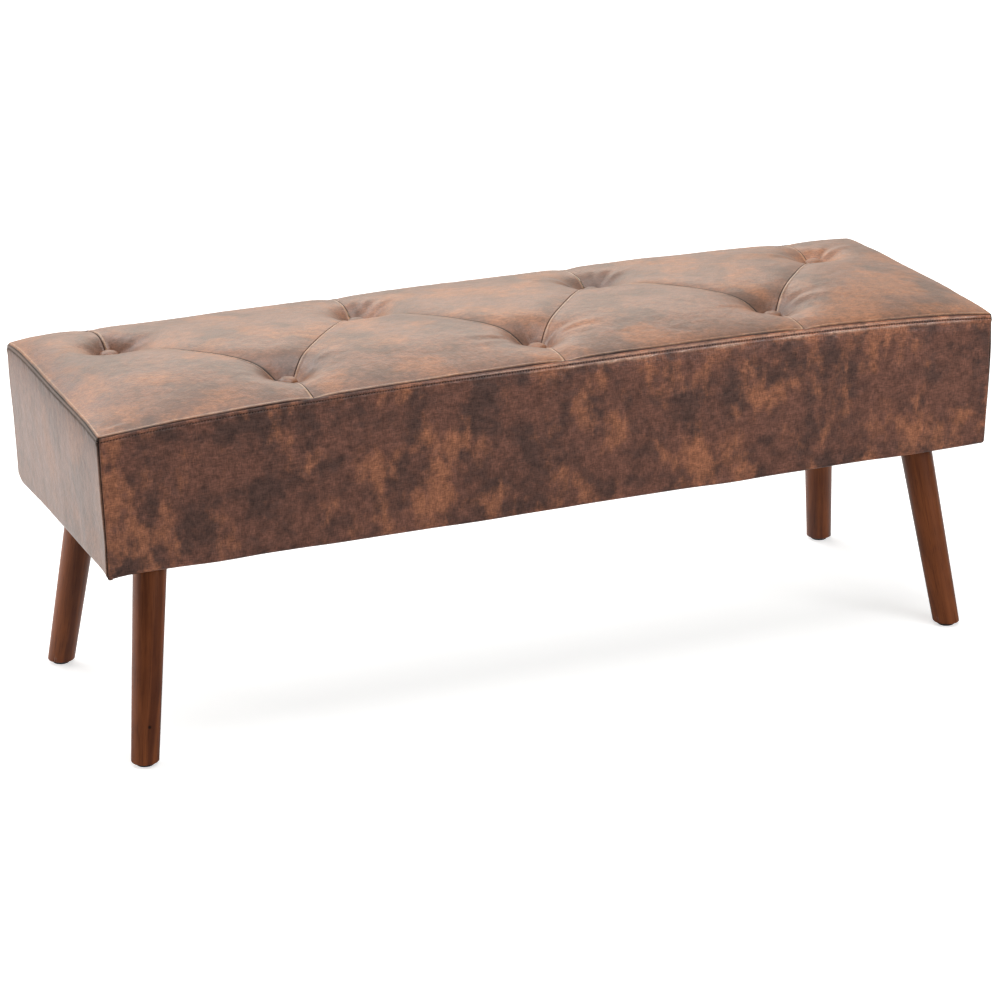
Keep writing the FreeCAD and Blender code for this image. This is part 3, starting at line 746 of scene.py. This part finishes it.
def band_outline(share, inset, half_run, half_out):
    """A point of a band's outline, drawn in by inset; share runs from -1 to 1 between its corner seams."""
    half_run, half_out = half_run - inset, half_out - inset
    radius = max(corner_radius - inset, 0)
    bend = corner_radius * math.pi / 4
    straight = half_run + inset - corner_radius
    straight_share = straight / (straight + bend)
    if abs(share) <= straight_share:
        return share / straight_share * (half_run - radius), -half_out
    angle = (abs(share) - straight_share) / (1 - straight_share) * math.pi / 4
    x = half_run - radius + radius * math.sin(angle)
    return math.copysign(x, share), -(half_out - radius + radius * math.cos(angle))


def band_relief(run, drop, height, to_corner, in_hole, seed):
    """How far a band stands out: tucked seam, doubled strip, stitch line, puckers and a soft, full face."""
    relief = strip_lift * (1 - smooth_step(drop, stitch_drop, 0.0075))
    if drop < tuck_drop:
        relief -= (tuck_depth + strip_lift) * (1 - drop / tuck_drop) ** 2
    relief -= (needle_sink if in_hole else line_sink) * hump(drop - stitch_drop, 0.0007)
    below = max(drop - stitch_drop, 0)
    if 0 < below < 0.03:
        gather = waver(run * 95, drop * 40, seed)
        gather += 0.6 * waver(run * 210, drop * 60, seed)
        relief += 0.0012 * gather * math.exp(-below / 0.007) * smooth_step(below, 0, 0.002)
        relief += 0.0007 * hump(below - 0.0028, 0.002)
    settled = smooth_step(drop, 0.008, 0.045)
    if settled:
        relief += 0.0011 * settled * waver(run * 7, drop * 11, seed + 4)
        relief += 0.0003 * settled * waver(run * 30, drop * 26, seed + 8)
        relief += 0.0005 * settled * waver(run * 42, drop * 5, seed + 3)
    relief += 0.0012 * math.sin(math.pi * min(drop / height, 1))
    relief += 0.0004 * hump(to_corner - 0.004, 0.002)
    return relief - rolled(to_corner, upright_roll)


def sew_band(side, turn, half_run, half_out, seed):
    """One side band, made as the front one and turned to its side. Gives the places of its stitches."""
    spin = Matrix.Rotation(turn, 3, "Z")
    run_length = 2 * (half_run - corner_radius + corner_radius * math.pi / 4)
    columns = 2 * round(run_length / stitch_pitch)
    upper = len(upper_drops) - 1
    face_end = upper + face_rows
    rows = face_end + turn_rows + hem_rows
    low = block_bottom - fold_drop + lower_radius
    lines = []
    for column in range(columns + 1):
        share = 2 * column / columns - 1
        run = share * run_length / 2
        to_corner = (1 - abs(share)) * run_length / 2
        seam_point = spin @ Vector((*band_outline(share, 0, half_run, half_out), 0))
        crease_height = seat_height(seam_point.x, seam_point.y) - edge_roll - 0.0002
        set_in = seam_set_in(side, seam_point.y if side in ("left", "right") else seam_point.x, to_corner)
        wave = hem_wave * max(waver(run * 11, seed, 1.5), -0.2)
        if seam_point.y > 0:
            wave -= rolled(to_corner, rear_corner_lift)
        elif seam_point.x < 0:
            wave += corner_drop * math.exp(-to_corner / 0.015)
        if side == "left":
            wave -= left_hem_lift * (1 - math.exp(-to_corner / 0.03))
        lines.append((share, run, to_corner, crease_height, set_in, wave))
    shape = bmesh.new()
    wear, crease, faded = new_masks(shape)
    stitches = [None] * (columns + 1)
    made = bmesh.ops.create_grid(shape, x_segments=columns, y_segments=rows, size=0.5)
    for vertex in made["verts"]:
        column = round((vertex.co.x + 0.5) * columns)
        row = round((0.5 - vertex.co.y) * rows)
        share, run, to_corner, crease_height, set_in, wave = lines[column]
        height = crease_height - low
        drop = height
        if row <= face_end:
            if row <= upper:
                drop = upper_drops[row]
            else:
                drop = upper_drops[-1] + (row - upper) / face_rows * (height - upper_drops[-1])
            z = crease_height - drop
            inset = side_lean * max(corner_height - z, 0) / (corner_height - block_bottom)
            inset += set_in * math.exp(-drop / roll_reach)
            inset -= band_relief(run, drop, height, to_corner, column % 2 == 0, seed)
            z -= wave * smooth_step(drop, height - 0.05, height)
        elif row <= face_end + turn_rows:
            angle = (row - face_end) / turn_rows * math.pi / 2
            kept = 1 - 0.85 * (1 - math.cos(angle)) if wave < 0 else 1
            z = low - lower_radius * math.sin(angle) - wave * kept
            inset = side_lean + lower_radius * (1 - math.cos(angle)) + rolled(to_corner, upright_roll)
        else:
            share_in = (row - face_end - turn_rows) / hem_rows
            inset = side_lean + lower_radius + share_in * (hem_width - lower_radius)
            kept = (0.15 if wave < 0 else 1) * (1 - share_in) ** 2
            z = block_bottom - fold_drop * (1 - share_in) ** 2 - wave * kept
        vertex.co = spin @ Vector((*band_outline(share, inset, half_run, half_out), z))
        stuff_ends(vertex.co)
        # Painted shade in the seam under the top, the corner seams and needle holes, a dark knot at each
        # corner, and along the top of the end bands.
        shade_amount = 0.7 * hump(drop, 0.0004) + 0.75 * hump(to_corner, 0.0007)
        shade_amount += (1 if column % 2 == 0 else 0.15) * hump(drop - stitch_drop, 0.0010)
        shade_amount += hump(to_corner, 0.003) * hump(drop, 0.005)
        if side in end_fading_and_sheen:
            shade_amount += end_shade * math.exp(-drop / end_shade_drop)
        vertex[crease] = min(shade_amount, 1)
        vertex[faded] = end_fading_and_sheen.get(side, 0)
        # Painted highlights: the strip above the stitches lighter as it tilts up, and shining patches below
        # them where the front rolls in; rubbing at the top edge and corners.
        tilt = min((set_in - corner_set_in) / 0.003, 1) if side == "front" else 0.4
        rub_and_highlight = 0.8 * tilt * hump(drop - rub_highlight_drop, 0.0012)
        patchy = 0.7 + 0.9 * waver(run * 26, drop * 90, seed)
        fade = hump(drop - shine_drop, 0.0012 if drop < shine_drop else 0.0050)
        rub_and_highlight += shine_for_roll * (set_in - corner_set_in) * patchy * fade
        vertex[wear] = rub_and_highlight + 0.3 * math.exp(-drop / 0.006) + 0.4 * hump(to_corner - 0.003, 0.002)
        if row == upper_drops.index(stitch_drop):
            outer = spin @ Vector((*band_outline(share, inset - 0.001, half_run, half_out), z))
            stuff_ends(outer)
            stitches[column] = (vertex.co.copy(), (outer - vertex.co).normalized())
    bmesh.ops.remove_doubles(shape, verts=shape.verts, dist=0.00002)
    bmesh.ops.dissolve_degenerate(shape, edges=shape.edges, dist=0.00002)
    band = add_piece("leather_band_" + side, shape, leather, "cover_leather", "side_band_" + side)
    thicken(band, leather_thickness)
    return stitches


stitch_lines = [
    sew_band("front", 0, half_length, half_depth, 11.0),
    sew_band("right", math.pi / 2, half_depth, half_length, 23.0),
    sew_band("rear", math.pi, half_length, half_depth, 37.0),
    sew_band("left", -math.pi / 2, half_depth, half_length, 41.0),
]


# Top stitching: brown bonded thread through band and allowances, just under the seam all round.
# It bulges over each stitch and dips into the needle holes between them.
thread_radius = 0.00040
thread_sides = 6
hole_depth = 0.0004
thread, tree = new_finish("stitching_thread")
twist = put(tree, "TexWave", Vector=own_place(tree), Scale=900.0, Distortion=2.0, bands_direction="DIAGONAL")
ply = mix(tree, twist.outputs["Fac"], (0.070, 0.034, 0.023, 1), (0.210, 0.110, 0.075, 1))
coat_with(tree, 0.0001, ply, twist.outputs["Fac"], Roughness=0.6)
shape = bmesh.new()
upwards = Vector((0, 0, 1))
for places in stitch_lines:
    steps = 2 * (len(places) - 1)
    made = bmesh.ops.create_grid(shape, x_segments=steps, y_segments=thread_sides, size=0.5)
    for vertex in made["verts"]:
        step = round((vertex.co.x + 0.5) * steps)
        around = 2 * math.pi * (vertex.co.y + 0.5)
        before, after = places[step // 2], places[(step + 1) // 2]
        outward = (before[1] + after[1]).normalized()
        bulge = math.sin(math.pi * step / 4) ** 2
        radius = thread_radius * (0.55 + 0.45 * bulge) if 0 < step < steps else 0
        lift = thread_radius * 0.9 * bulge - hole_depth * (1 - bulge)
        centre = (before[0] + after[0]) / 2 + outward * lift
        vertex.co = centre + radius * (math.cos(around) * outward + math.sin(around) * upwards)
bmesh.ops.remove_doubles(shape, verts=shape.verts, dist=weld_distance)
bmesh.ops.recalc_face_normals(shape, faces=shape.faces)
add_piece("top_stitching", shape, thread, "twine")


# Covered buttons: a metal cap under the same leather, drawn down hard by its twine.
# The leather is gathered under the rim, which leaves faint tucks round the edge.
button_radius = 0.012
button_height = 0.008
rim_height = 0.0022
rim_tucks = 15
for name, centre in buttons.items():
    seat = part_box("button_" + name)[0].z
    shape = bmesh.new()
    section = []
    for step in range(13):
        angle = math.radians(90 - 7.5 * step)
        height = rim_height + (button_height - rim_height) * math.sin(angle)
        section.append(shape.verts.new((button_radius * math.cos(angle) ** 0.9 if step else 0, 0, height)))
    for step in range(1, 8):
        angle = math.radians(12 * step)
        reach = button_radius - 0.0035 * (1 - math.cos(angle))
        section.append(shape.verts.new((reach, 0, rim_height - 0.0042 * math.sin(angle))))
    section.append(shape.verts.new((0, 0, rim_height - 0.0044)))
    profile = [shape.edges.new(pair) for pair in zip(section, section[1:])]
    bmesh.ops.spin(
        shape, geom=section + profile, cent=(0, 0, 0), axis=(0, 0, 1),
        angle=2 * math.pi, steps=60, use_merge=True,
    )
    bmesh.ops.remove_doubles(shape, verts=shape.verts, dist=weld_distance)
    bmesh.ops.recalc_face_normals(shape, faces=shape.faces)
    wear, crease, faded = new_masks(shape)
    for vertex in shape.verts:
        away = math.hypot(vertex.co.x, vertex.co.y)
        turn = math.atan2(vertex.co.y, vertex.co.x)
        wander = waver(math.cos(turn) * 2, math.sin(turn) * 2, centre.x * 7)
        tuck = math.cos(rim_tucks * turn + 4 * wander) * smooth_step(away, 0.007, 0.0118)
        grow = 1 + 0.014 * tuck
        vertex.co = Vector((centre.x + vertex.co.x * grow, centre.y + vertex.co.y * grow, seat + vertex.co.z))
        # Painted shade under the rim, where the leather is gathered in; the rim itself is rubbed paler.
        vertex[crease] = 0.8 * smooth_step(rim_height - 0.0012 - (vertex.co.z - seat), 0, 0.0015)
        vertex[faded] = 1
        vertex[wear] = 0.5 * smooth_step(away, 0.006, 0.011)
    button = add_piece("covered_button_" + name, shape, leather, "cover_leather", "button_" + name)


# Legs: four turned hardwood tapers, stained walnut under a satin lacquer, splayed both ways.
# Each is screwed to its plate by a hanger bolt and stands on a nailed glide.
splay_end = math.radians(7.35)
splay_side = math.radians(10.5)
foot_radius = 0.03350 / 2
root_radius = 0.041 / 2
glide_height = 0.0045
foot_rounding = 0.0014
spare_end = 0.03
knot_place = (-0.5398, -0.1844, 0.050)
knot_radius = 0.0026
leg_stain_light = (0.240, 0.066, 0.017, 1)
leg_stain_dark = (0.086, 0.021, 0.007, 1)

wood_grain, given, result = new_group(
    "wood_grain", Vector="Vector", Light="Color", Dark="Color", Figure="Float",
)
tree = wood_grain
rings = cloudy(tree, drawn(tree, given["Vector"], 60.0, 60.0, 4.0), 1.0, 5.0, 0.55, Distortion=0.8)
pores = cloudy(tree, drawn(tree, given["Vector"], 900.0, 900.0, 30.0), 1.0, 3.0, 0.6)
mottle = cloudy(tree, given["Vector"], 22.0, 3.0)
figure = plus(tree, mottle, given["Figure"], rings)
stain = mix(tree, band_of(tree, figure, 0.36, 0.86), given["Dark"], given["Light"])
pore_mask = band_of(tree, pores, 0.28, 0.48, 0.55, 1.0)
tree.links.new(darkened(tree, stain, pore_mask), result["Color"])
tree.links.new(band_of(tree, rings, 0.3, 0.7, 0.34, 0.46), result["Roughness"])
tree.links.new(plus(tree, pore_mask, 0.6, rings), result["Height"])

stained_wood, tree = new_finish("stained_leg_wood")
surface = put(
    tree, "Group", node_tree=wood_grain, Light=leg_stain_light, Dark=leg_stain_dark, Figure=0.25,
    Vector=put(tree, "Attribute", attribute_name="grain").outputs["Vector"],
).outputs
from_knot = put(tree, "VectorMath", own_place(tree), knot_place, operation="DISTANCE").outputs["Value"]
knot = band_of(tree, from_knot, knot_radius * 0.5, knot_radius, 0.2, 1.0)
coat_with(
    tree, 0.00012, darkened(tree, surface["Color"], knot), surface["Height"],
    Roughness=surface["Roughness"], Specular_IOR_Level=0.3,
)

# Where each leg stands and how much it moves inwards for each metre of height.
leg_lines = []
for corner_y, side_y in (("front", -1), ("rear", 1)):
    for corner_x, side_x in (("left", -1), ("right", 1)):
        corner = corner_y + "_" + corner_x
        low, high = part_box("glide_" + corner)
        slope = Vector((-side_x * math.tan(splay_end), -side_y * math.tan(splay_side), 1))
        axis = slope.normalized()
        foot = Vector(((low.x + high.x) / 2, (low.y + high.y) / 2, glide_height))
        leg_lines.append((foot, slope))
        floor_point = foot - slope * glide_height
        top_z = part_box("leg_" + corner)[1].z - root_radius * math.sqrt(1 - axis.z**2)
        reach = (top_z - floor_point.z) / axis.z
        taper = (root_radius - foot_radius) / (block_bottom / axis.z)
        shape = bmesh.new()
        bmesh.ops.create_cone(
            shape,
            cap_ends=True,
            segments=96,
            radius1=foot_radius - taper * spare_end,
            radius2=foot_radius + taper * reach,
            depth=reach + spare_end,
        )
        stand = axis.to_track_quat("Z", "X").to_matrix().to_4x4()
        leg_place = Matrix.Translation(floor_point + axis * (reach - spare_end) / 2) @ stand
        long_lines = [line for line in shape.edges if abs(line.verts[0].co.z - line.verts[1].co.z) > 0.01]
        bmesh.ops.subdivide_edges(shape, edges=long_lines, cuts=24)
        shape.transform(leg_place)
        everything = shape.verts[:] + shape.edges[:] + shape.faces[:]
        cut = bmesh.ops.bisect_plane(
            shape, geom=everything, plane_co=foot, plane_no=(0, 0, 1), clear_inner=True, dist=weld_distance,
        )
        foot_ring = [part for part in cut["geom_cut"] if isinstance(part, bmesh.types.BMEdge)]
        bmesh.ops.contextual_create(shape, geom=foot_ring)
        bmesh.ops.bevel(
            shape, geom=foot_ring, offset=foot_rounding, offset_type="OFFSET",
            affect="EDGES", segments=4, profile=0.5, material=-1,
        )
        bmesh.ops.recalc_face_normals(shape, faces=shape.faces)
        grain = shape.verts.layers.float_vector.new("grain")
        upright = leg_place.inverted()
        shift = Vector((0.3 * side_x, 0.2 * side_y, 0.4 * side_x * side_y))
        for vertex in shape.verts:
            vertex[grain] = upright @ vertex.co + shift
        leg = add_piece("turned_leg_" + corner, shape, stained_wood, "leg_wood", "leg_" + corner)
        for face in leg.data.polygons:
            face.use_smooth = len(face.vertices) < 5


# Wadding: a sheet of polyester fibre over the foam and down the frame, under the leather.
# It lies close under the sewn cover, and lower round the buttons, where the twines pull it down.
wadding_top_gap = 0.0018
wadding_side_gap = 0.0026
button_drop = 0.006
button_reach = 0.03
wadding_thickness = 0.0045
wadding_low = 0.262
fibre, tree = new_finish("wadding_fibre")
tufts = cloudy(tree, own_place(tree), 260.0, 6.0, 0.7)
white = mix(tree, tufts, (0.72, 0.72, 0.7, 1), (0.88, 0.88, 0.87, 1))
coat_with(tree, 0.0008, white, tufts, Roughness=0.95)
shape = bmesh.new()
bmesh.ops.create_grid(shape, x_segments=190, y_segments=62, size=0.5)
for vertex in shape.verts:
    vertex.co.x *= 2 * half_length
    vertex.co.y *= 2 * half_depth
    round_corner(vertex.co)
    x, y = vertex.co.x, vertex.co.y
    draw_in(vertex.co)
    lower = seam_dip(nearest_seam(x, y)) + wadding_top_gap + rolled(edge_distance(x, y), 0.003)
    for button_x, button_y, uneven in dimples:
        lower += button_drop * hump(math.hypot(x - button_x, y - button_y), button_reach)
    vertex.co.x *= 1 - wadding_side_gap / half_length
    vertex.co.y *= 1 - wadding_side_gap / half_depth
    vertex.co.z = seat_height(x, y) - lower
    stuff_ends(vertex.co)
for vertex in turn_down(shape):
    vertex.co.x *= 1 - side_lean / half_length
    vertex.co.y *= 1 - side_lean / half_depth
    vertex.co.z = wadding_low
wadding = add_piece("fibre_wadding", shape, fibre, "wadding", "wadding")
thicken(wadding, wadding_thickness)


# Dust cover: black spun cloth stapled under the frame, open round each leg.
# It hangs slack between the rails and lies flat at its edge and round the legs.
dust_low, dust_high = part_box("dust_cover")
dust_thickness = 0.0006
leg_way = 0.0025
slack = 0.0045
spun_cloth, tree = new_finish("spun_dust_cloth")
place = own_place(tree)
dots = put(tree, "TexVoronoi", Vector=place, Scale=420.0, Randomness=0.15)
pressed = band_of(tree, dots.outputs["Distance"], 0.2, 0.45)
strands = cloudy(tree, place, 700.0, 4.0, 0.7)
paler = times(tree, pressed, strands)
black = mix(tree, paler, (0.010, 0.010, 0.011, 1), (0.034, 0.034, 0.036, 1))
coat_with(tree, 0.0003, black, reckon(tree, "ADD", pressed, strands), Roughness=0.85, Sheen_Weight=0.15)
shape = bmesh.new()
bmesh.ops.create_grid(shape, x_segments=230, y_segments=72, size=0.5)
for vertex in shape.verts:
    vertex.co.x *= dust_high.x - dust_low.x
    vertex.co.y *= dust_high.y - dust_low.y
holes = [Vector((*(foot + slope * dust_low.z).xy, 0)) for foot, slope in leg_lines]
hole_radius = root_radius + leg_way


def from_hole(vertex):
    return min((vertex.co - hole).length for hole in holes)


inside_holes = [vertex for vertex in shape.verts if from_hole(vertex) < hole_radius - 0.0015]
bmesh.ops.delete(shape, geom=inside_holes, context="VERTS")
for vertex in shape.verts:
    nearest = min(holes, key=lambda hole: (vertex.co - hole).length)
    away = vertex.co - nearest
    if vertex.is_boundary and away.length < hole_radius + 0.008:
        vertex.co = nearest + away.normalized() * hole_radius
for vertex in shape.verts:
    x, y = vertex.co.x, vertex.co.y
    from_edge = min(dust_high.x - abs(x), dust_high.y - abs(y))
    hang = smooth_step(from_edge, 0.014, 0.07)
    hang *= smooth_step(from_hole(vertex), hole_radius, hole_radius + 0.05)
    billow = 0.6 + 0.5 * waver(x * 3.1, y * 6.0, 7.0) + 0.22 * waver(x * 11, y * 14, 3.0)
    vertex.co.z = dust_high.z - 0.0001 - slack * hang * billow
dust_cover = add_piece("spun_dust_cover", shape, spun_cloth, "dust_cloth", "dust_cover")
thicken(dust_cover, dust_thickness, 1)


# What is inside and under the seat: timber frame, plywood deck, foam, twine and the metal fixings.
# These keep their CAD shapes and each gets the finish of its own stock.
def plain_stock(name, texture, light, dark, roughness, relief, metallic=0.0, **sockets):
    """Finish with one texture over two tones of a colour."""
    finish, tree = new_finish(name)
    pattern = put(tree, texture, Vector=own_place(tree), **sockets).outputs[0]
    rough = band_of(tree, pattern, 0.0, 1.0, roughness - 0.08, roughness + 0.08)
    coat_with(tree, relief, mix(tree, pattern, dark, light), pattern, Roughness=rough, Metallic=metallic)
    return finish


def board_stock(name, turn):
    """Sawn or sliced wood with its grain turned along the board."""
    finish, tree = new_finish(name)
    board = put(
        tree, "Group", node_tree=wood_grain, Light=(0.62, 0.43, 0.24, 1), Dark=(0.42, 0.26, 0.13, 1),
        Vector=put(tree, "Mapping", Vector=own_place(tree), Rotation=turn).outputs[0], Figure=0.2,
    ).outputs
    coat_with(tree, 0.0002, board["Color"], board["Height"], Roughness=0.75)
    return finish


cross_boards = board_stock("pine_across", (math.pi / 2, 0, 0))
stock = {
    "frame_timber": board_stock("pine_along", (0, math.pi / 2, 0)),
    "plywood": board_stock("birch_plywood", (0, math.pi / 2, 0)),
    "foam": plain_stock(
        "seat_foam", "TexVoronoi", (0.85, 0.80, 0.62, 1), (0.70, 0.64, 0.46, 1), 0.9, 0.0006, Scale=500.0,
    ),
    "twine": plain_stock(
        "waxed_twine", "TexNoise", (0.62, 0.55, 0.42, 1), (0.40, 0.34, 0.24, 1), 0.7, 0.0002, Scale=900.0,
    ),
    "steel": plain_stock(
        "plate_steel", "TexNoise", (0.46, 0.46, 0.47, 1), (0.30, 0.30, 0.32, 1), 0.42, 0.0001, 1.0,
        Scale=180.0, Detail=5.0,
    ),
    "zinc_steel": plain_stock(
        "zinc_plating", "TexVoronoi", (0.64, 0.64, 0.62, 1), (0.48, 0.49, 0.50, 1), 0.34, 0.00005, 1.0,
        Scale=300.0,
    ),
    "glide_plastic": plain_stock(
        "moulded_glide", "TexNoise", (0.018, 0.018, 0.019, 1), (0.010, 0.010, 0.011, 1), 0.5, 0.0001,
        Scale=1200.0,
    ),
    "cover_leather": leather,
    "leg_wood": stained_wood,
    "wadding": fibre,
    "dust_cloth": spun_cloth,
}
for part in frame["record"]["subparts"]:
    node = part["node"]
    finish = stock[part["material_slot"]]
    if node.startswith("cross_brace") or node in ("frame_left_rail", "frame_right_rail"):
        finish = cross_boards
    mesh = frame["nodes"][node].data
    mesh.materials.clear()
    mesh.materials.append(finish)
